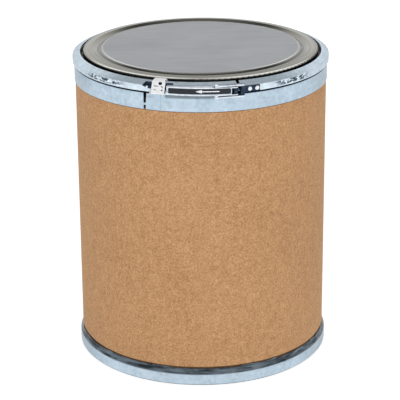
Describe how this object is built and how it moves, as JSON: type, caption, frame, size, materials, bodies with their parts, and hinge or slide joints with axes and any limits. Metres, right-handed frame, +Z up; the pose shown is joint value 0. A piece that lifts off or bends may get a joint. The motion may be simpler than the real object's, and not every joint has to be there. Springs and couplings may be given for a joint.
{
  "type": "fibre drum with lever-lock ring",
  "caption": "Upright kraft fibre drum with steel rims top and bottom, a dished steel lid and a clamping ring closed by an over-centre lever latch",
  "frame": {"origin": "on the drum's axis at floor level, in the middle of the bottom chime's foot", "axes": "+Z up along the drum's axis, -Y toward the latch, +X to the right when facing the latch"},
  "size_m": [0.5099, 0.5212, 0.6244],
  "materials": {
    "kraft_fibre": "matt wound kraft paper",
    "fibreboard": "matt board",
    "galvanized_steel": "zinc coated, satin",
    "ring_steel": "zinc coated, satin",
    "cover_steel": "bare steel, satin",
    "latch_steel": "zinc plated",
    "rivet_steel": "bright",
    "catch_zinc": "bright zinc",
    "gasket_rubber": "soft"
  },
  "bodies": {
    "drum": {"fibre_wall": "kraft_fibre", "bottom_disc": "fibreboard", "bottom_chime": "galvanized_steel", "top_chime": "galvanized_steel"},
    "lid": {"cover": "cover_steel", "cover_gasket": "gasket_rubber"},
    "ring": {"ring_left_half": "ring_steel", "fulcrum_bracket": "latch_steel", "fulcrum_rivets": "rivet_steel", "fulcrum_pin": "rivet_steel", "keeper_plate": "latch_steel", "keeper_rivets": "rivet_steel"},
    "ring_far_end": {"ring_right_half": "ring_steel", "anchor_bracket": "latch_steel", "anchor_rivets": "rivet_steel", "anchor_pin": "rivet_steel"},
    "latch_lever": {"lever": "latch_steel", "catch_pin": "rivet_steel"},
    "latch_link": {"link_arm_lower": "latch_steel", "link_arm_upper": "latch_steel", "link_pin": "rivet_steel"},
    "catch": {"safety_catch": "catch_zinc"}
  },
  "joints": [
    {"name": "cover_lift", "type": "slide", "parent": "drum", "child": "lid", "axis": [0, 0, 1], "range_m": [0, 0.15]},
    {"name": "ring_lift", "type": "slide", "parent": "lid", "child": "ring", "axis": [0, 0, 1], "range_m": [0, 0.1]},
    {"name": "lever_swing", "type": "hinge", "parent": "ring", "child": "latch_lever", "pos_m": [0.06439, -0.25448, 0], "axis": [0, 0, 1], "range_deg": [0, 100]},
    {"name": "link_swing", "type": "hinge", "parent": "latch_lever", "child": "latch_link", "pos_m": [0.02875, -0.26042, 0], "axis": [0, 0, 1], "range_deg": [-51.53, 0]},
    {"name": "ring_spread", "type": "hinge", "parent": "ring", "child": "ring_far_end", "pos_m": [0, 0.2545, 0], "axis": [0, 0, 1], "range_deg": [0, 2.51], "deforming": ["ring_left_half", "ring_right_half"]},
    {"name": "catch_flip", "type": "hinge", "parent": "latch_lever", "child": "catch", "pos_m": [-0.08046, -0.25364, 0.6008], "axis": [0.9532, -0.3024, 0], "range_deg": [0, 110]}
  ],
  "couplings": [
    {"joint": "link_swing", "follows": "lever_swing", "ratio": -0.5152},
    {"joint": "ring_spread", "follows": "lever_swing", "ratio": 0.025053}
  ]
}
